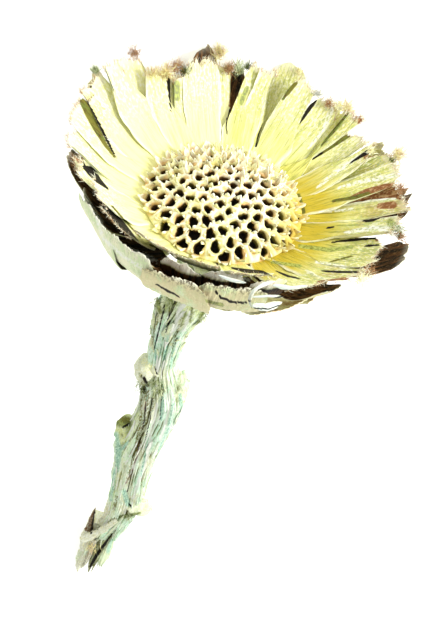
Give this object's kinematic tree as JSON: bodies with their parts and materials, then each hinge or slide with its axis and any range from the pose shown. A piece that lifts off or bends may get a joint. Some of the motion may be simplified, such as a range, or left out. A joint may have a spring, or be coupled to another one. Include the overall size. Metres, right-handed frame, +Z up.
{
  "type": "dried protea flower head",
  "caption": "Dried protea head, a pitted receptacle ringed by cream and brown bracts on a knotty cut stem, lying on its side.",
  "frame": {"origin": "middle of the footprint, on the surface that the flower lies on", "axes": "+X from the cut end of the stem towards the flower's face, +Z up"},
  "size_m": [0.17, 0.0846, 0.0768],
  "materials": {
    "receptacle_cream": "matt dry plant tissue, cream with dark pits",
    "cream_bract": "matt, cream to yellow-green, fine lengthwise veins",
    "brown_bract": "matt, red-brown inside",
    "green_bract": "matt, pale green-cream with ragged pale edges",
    "basal_bract": "matt, yellow-green",
    "stem_green": "matt, mint green with pale ribs and olive patches"
  },
  "bodies": {
    "root": {"receptacle": "receptacle_cream", "inner_bracts": "cream_bract", "middle_bracts": "brown_bract", "outer_bracts": "green_bract", "basal_bracts": "basal_bract", "stem": "stem_green"}
  },
  "joints": []
}
